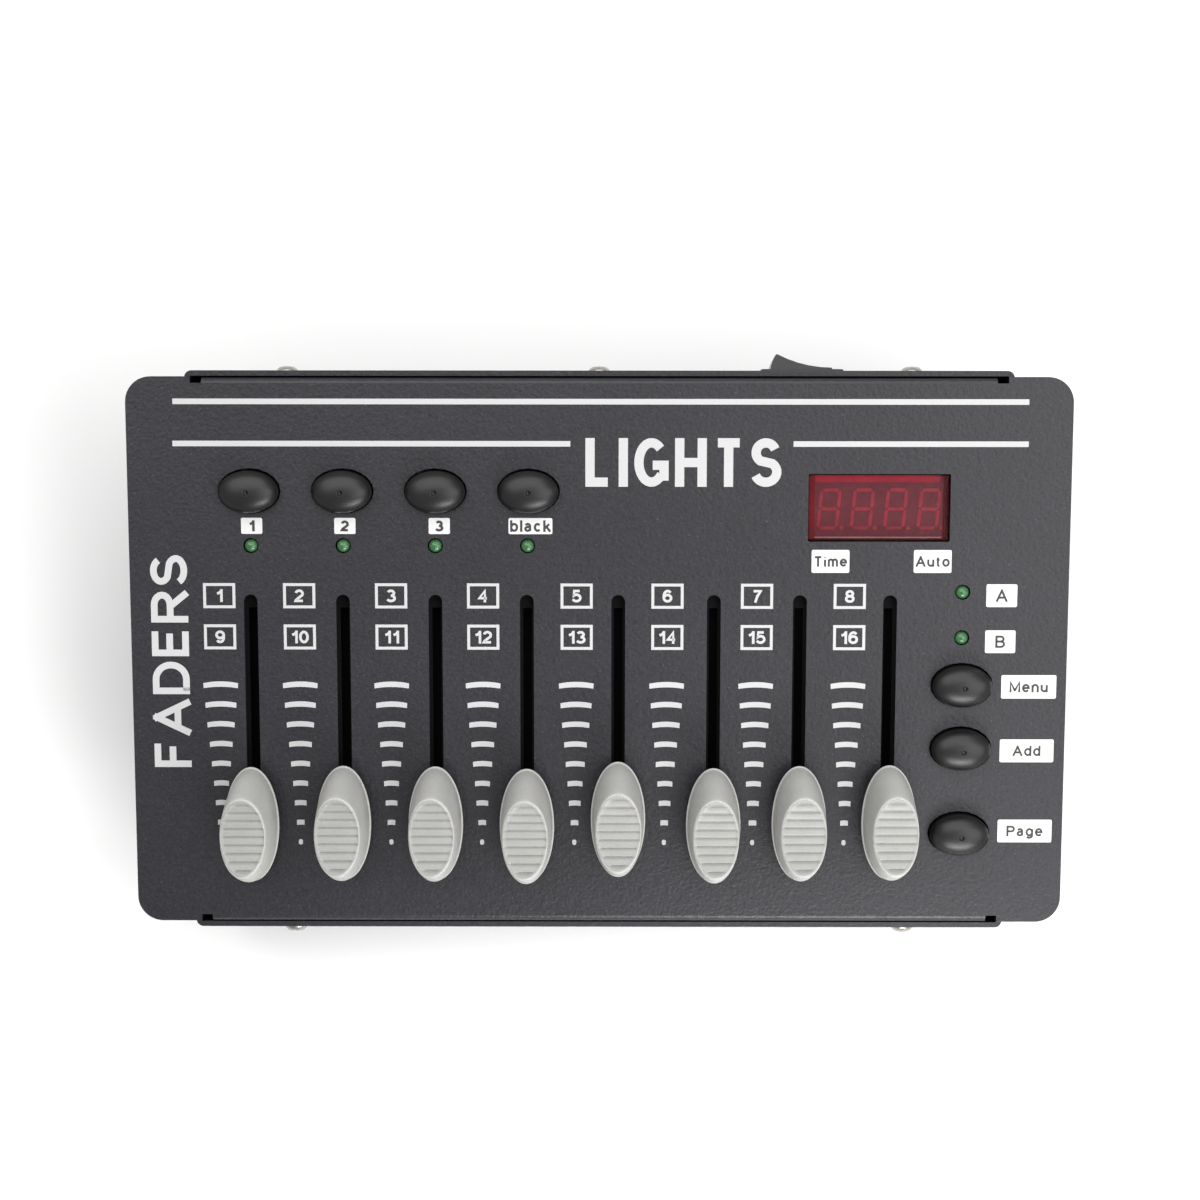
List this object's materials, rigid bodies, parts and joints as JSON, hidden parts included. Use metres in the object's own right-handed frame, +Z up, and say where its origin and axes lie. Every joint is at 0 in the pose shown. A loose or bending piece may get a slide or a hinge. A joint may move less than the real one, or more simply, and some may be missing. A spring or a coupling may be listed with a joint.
{
  "type": "lighting control desk",
  "caption": "Small sloping tabletop lighting desk: slide faders with tall oval knobs, oval push buttons, indicator lights and a red digit display in a black folded-steel case.",
  "frame": {"origin": "on the table, under the middle of the whole desk's bounding box", "axes": "+Z up, +X to the operator's right, +Y from the operator's side to the rear; the panel rises 8.5 degrees to the rear"},
  "size_m": [0.204, 0.1296, 0.0566],
  "materials": {
    "paint": "fine black powder coat",
    "knob_plastic": "satin warm grey",
    "button_plastic": "satin black",
    "black_plastic": "moulded black",
    "rubber": "matt",
    "steel": "zinc plated",
    "tin": "tin plated",
    "green_lens": "tinted clear",
    "red_acrylic": "tinted clear",
    "board": "solder mask"
  },
  "bodies": {
    "case": {"top_panel": "paint", "base_tray": "paint", "case_screw_rear_left": "steel", "case_screw_rear_middle": "steel", "case_screw_rear_right": "steel", "case_screw_front_left": "steel", "case_screw_front_right": "steel", "foot_left_front": "rubber", "foot_left_rear": "rubber", "foot_right_front": "rubber", "foot_right_rear": "rubber", "fader_body_1": "tin", "fader_body_2": "tin", "fader_body_3": "tin", "fader_body_4": "tin", "fader_body_5": "tin", "fader_body_6": "tin", "fader_body_7": "tin", "fader_body_8": "tin", "scene_led_1": "green_lens", "scene_led_2": "green_lens", "scene_led_3": "green_lens", "black_led": "green_lens", "bank_led_a": "green_lens", "bank_led_b": "green_lens", "display_window": "red_acrylic", "digit_display": "black_plastic", "control_board": "board", "board_standoff_left_front": "steel", "board_standoff_left_rear": "steel", "board_standoff_right_front": "steel", "board_standoff_right_rear": "steel", "switch_body": "black_plastic", "power_jack": "black_plastic", "power_jack_nut": "steel", "output_socket": "black_plastic"},
    "fader_1": {"fader_lever_1": "black_plastic", "fader_knob_1": "knob_plastic"},
    "fader_2": {"fader_lever_2": "black_plastic", "fader_knob_2": "knob_plastic"},
    "fader_3": {"fader_lever_3": "black_plastic", "fader_knob_3": "knob_plastic"},
    "fader_4": {"fader_lever_4": "black_plastic", "fader_knob_4": "knob_plastic"},
    "fader_5": {"fader_lever_5": "black_plastic", "fader_knob_5": "knob_plastic"},
    "fader_6": {"fader_lever_6": "black_plastic", "fader_knob_6": "knob_plastic"},
    "fader_7": {"fader_lever_7": "black_plastic", "fader_knob_7": "knob_plastic"},
    "fader_8": {"fader_lever_8": "black_plastic", "fader_knob_8": "knob_plastic"},
    "scene_1_key": {"scene_button_1": "button_plastic"},
    "scene_2_key": {"scene_button_2": "button_plastic"},
    "scene_3_key": {"scene_button_3": "button_plastic"},
    "black_key": {"black_button": "button_plastic"},
    "menu_key": {"menu_button": "button_plastic"},
    "add_key": {"add_button": "button_plastic"},
    "page_key": {"page_button": "button_plastic"},
    "power_rocker": {"switch_rocker": "black_plastic"}
  },
  "joints": [
    {"name": "fader_slide_1", "type": "slide", "parent": "case", "child": "fader_1", "axis": [0, 0.989, 0.1478], "range_m": [-0.0004, 0.0446]},
    {"name": "fader_slide_2", "type": "slide", "parent": "case", "child": "fader_2", "axis": [0, 0.989, 0.1478], "range_m": [-0.0007, 0.0443]},
    {"name": "fader_slide_3", "type": "slide", "parent": "case", "child": "fader_3", "axis": [0, 0.989, 0.1478], "range_m": [-0.0006, 0.0444]},
    {"name": "fader_slide_4", "type": "slide", "parent": "case", "child": "fader_4", "axis": [0, 0.989, 0.1478], "range_m": [-0.0001, 0.0449]},
    {"name": "fader_slide_5", "type": "slide", "parent": "case", "child": "fader_5", "axis": [0, 0.989, 0.1478], "range_m": [-0.0017, 0.0433]},
    {"name": "fader_slide_6", "type": "slide", "parent": "case", "child": "fader_6", "axis": [0, 0.989, 0.1478], "range_m": [-0.0003, 0.0447]},
    {"name": "fader_slide_7", "type": "slide", "parent": "case", "child": "fader_7", "axis": [0, 0.989, 0.1478], "range_m": [-0.0008, 0.0442]},
    {"name": "fader_slide_8", "type": "slide", "parent": "case", "child": "fader_8", "axis": [0, 0.989, 0.1478], "range_m": [-0.001, 0.044]},
    {"name": "scene_button_1_press", "type": "slide", "parent": "case", "child": "scene_1_key", "axis": [0, 0.1478, -0.989], "range_m": [0, 0.0008], "stiffness_N_per_m": 1200, "springref_m": -0.0006},
    {"name": "scene_button_2_press", "type": "slide", "parent": "case", "child": "scene_2_key", "axis": [0, 0.1478, -0.989], "range_m": [0, 0.0008], "stiffness_N_per_m": 1200, "springref_m": -0.0006},
    {"name": "scene_button_3_press", "type": "slide", "parent": "case", "child": "scene_3_key", "axis": [0, 0.1478, -0.989], "range_m": [0, 0.0008], "stiffness_N_per_m": 1200, "springref_m": -0.0006},
    {"name": "black_button_press", "type": "slide", "parent": "case", "child": "black_key", "axis": [0, 0.1478, -0.989], "range_m": [0, 0.0008], "stiffness_N_per_m": 1200, "springref_m": -0.0006},
    {"name": "menu_button_press", "type": "slide", "parent": "case", "child": "menu_key", "axis": [0, 0.1478, -0.989], "range_m": [0, 0.0008], "stiffness_N_per_m": 1200, "springref_m": -0.0006},
    {"name": "add_button_press", "type": "slide", "parent": "case", "child": "add_key", "axis": [0, 0.1478, -0.989], "range_m": [0, 0.0008], "stiffness_N_per_m": 1200, "springref_m": -0.0006},
    {"name": "page_button_press", "type": "slide", "parent": "case", "child": "page_key", "axis": [0, 0.1478, -0.989], "range_m": [0, 0.0008], "stiffness_N_per_m": 1200, "springref_m": -0.0006},
    {"name": "power_rocker_tilt", "type": "hinge", "parent": "case", "child": "power_rocker", "pos_m": [0.045, 0.06076, 0.031], "axis": [0, 0, 1], "range_deg": [0, 28]}
  ]
}
